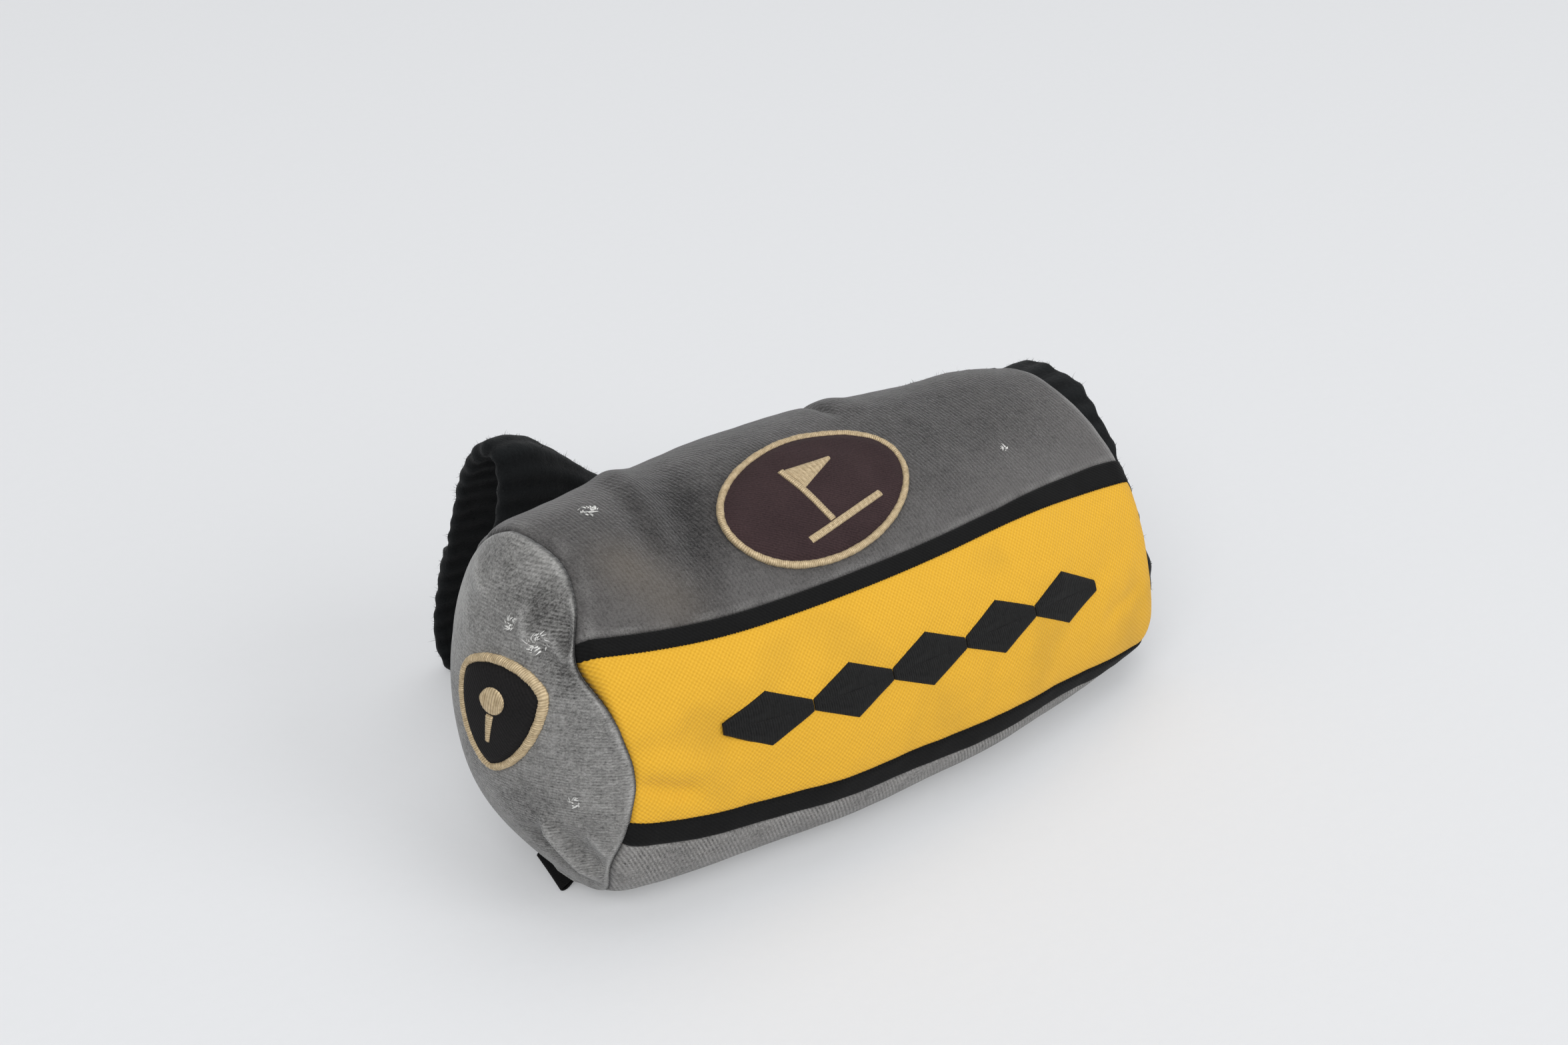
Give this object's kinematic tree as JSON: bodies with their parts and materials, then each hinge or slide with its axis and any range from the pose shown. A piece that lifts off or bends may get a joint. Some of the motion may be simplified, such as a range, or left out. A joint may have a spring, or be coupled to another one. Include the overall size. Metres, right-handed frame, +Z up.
{
  "type": "golf club head cover",
  "caption": "Padded barrel-shaped fabric cover for a golf club head, with a taped canvas stripe, stitched badges and a rib-knit sock that folds back along it.",
  "frame": {"origin": "on the table, on the flat of the sole under the middle of the pouch", "axes": "+X along the pouch from the toe panel to the neck, -Y towards the striped front, +Z up"},
  "size_m": [0.1678, 0.1105, 0.0734],
  "materials": {
    "grey_velour": "short-pile velour with a fine twill line",
    "yellow_canvas": "plain-weave canvas",
    "black_tape": "woven tape, matt",
    "black_knit": "fuzzy rib knit",
    "gold_thread": "metallic embroidery thread",
    "brown_twill": "twill badge ground",
    "black_twill": "twill badge ground and embroidery",
    "padding": "sheet foam padding",
    "lining": "smooth woven lining",
    "elastic": "woven elastic band"
  },
  "bodies": {
    "pouch": {"crown_panel": "grey_velour", "sole_panel": "grey_velour", "stripe_panel": "yellow_canvas", "upper_tape": "black_tape", "lower_tape": "black_tape", "toe_panel": "grey_velour", "toe_tab": "black_tape", "pouch_padding": "padding", "toe_padding": "padding", "pouch_lining": "lining", "toe_lining": "lining", "neck_elastic": "elastic", "crown_badge": "brown_twill", "crown_badge_border": "gold_thread", "crown_badge_motif": "gold_thread", "toe_badge": "black_twill", "toe_badge_border": "gold_thread", "toe_badge_motif": "gold_thread", "stripe_motif": "black_twill", "neck_cuff": "black_knit", "sock_fold": "black_knit"},
    "sock": {"sock_tube": "black_knit", "sock_hem": "black_knit"}
  },
  "joints": [
    {"name": "sock_swing", "type": "hinge", "parent": "pouch", "child": "sock", "pos_m": [0.0726, 0.05123, 0.0232], "axis": [0, 0.3338, -0.9426], "range_deg": [0, 150], "deforming": ["sock_fold"]}
  ]
}
